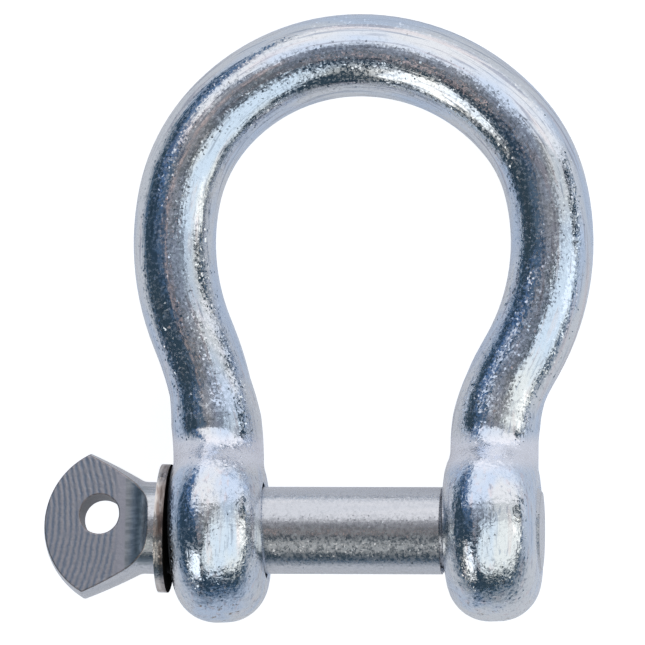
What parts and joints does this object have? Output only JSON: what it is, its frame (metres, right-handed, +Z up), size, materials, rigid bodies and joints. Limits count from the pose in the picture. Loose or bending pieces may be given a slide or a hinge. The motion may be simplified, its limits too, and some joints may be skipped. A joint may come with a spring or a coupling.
{
  "type": "screw pin bow shackle",
  "caption": "Zinc-plated steel bow shackle with a screw pin: a round bow for slings and chain, closed by a spade-headed pin with a lanyard hole.",
  "frame": {"origin": "on the pin's axis, in the middle of the jaw between the two eyes", "axes": "+X along the pin from its head to its threaded end, +Y from the pin towards the crown of the bow, +Z up from the floor on which the shackle lies on its side"},
  "size_m": [0.063, 0.07, 0.0213],
  "materials": {
    "bow_zinc": "bright blue-white zinc plating on forged steel",
    "pin_zinc": "bright zinc plating on turned and milled steel"
  },
  "bodies": {
    "bow": {"shackle_bow": "bow_zinc"},
    "pin": {"screw_pin": "pin_zinc"}
  },
  "joints": [
    {"name": "pin_withdraw", "type": "slide", "parent": "bow", "child": "pin", "axis": [-1, 0, 0], "range_m": [0, 0.048]}
  ]
}
